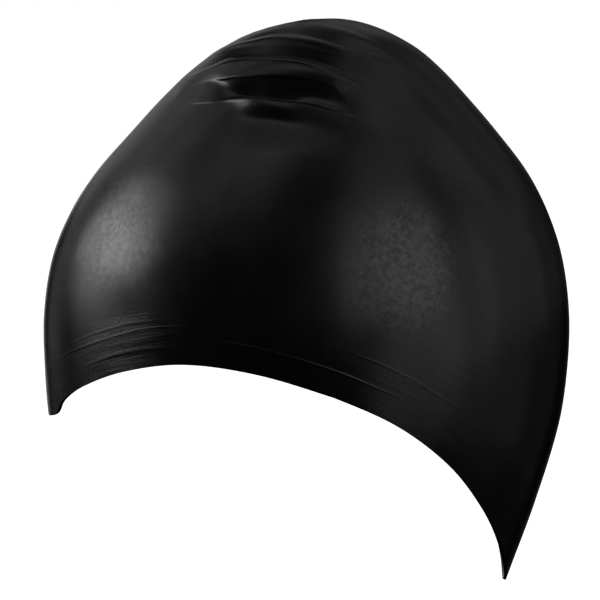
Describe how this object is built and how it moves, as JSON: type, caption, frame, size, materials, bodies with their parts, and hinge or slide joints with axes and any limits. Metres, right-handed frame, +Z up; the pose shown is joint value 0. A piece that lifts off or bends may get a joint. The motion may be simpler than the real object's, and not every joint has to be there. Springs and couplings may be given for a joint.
{
  "type": "swim cap",
  "caption": "Smooth close-fitting swim cap of dark rubber in its worn form, arched over the ears, pointed down at the nape, with slack folds across the crown.",
  "frame": {"origin": "inside of the crown's top, where the wearer's head bears", "axes": "+Z up, the forehead toward -Y, the nape toward +Y, the wearer's left ear toward +X"},
  "size_m": [0.1582, 0.2102, 0.2264],
  "materials": {
    "rubber": "satin"
  },
  "bodies": {
    "root": {"cap": "rubber"}
  },
  "joints": []
}
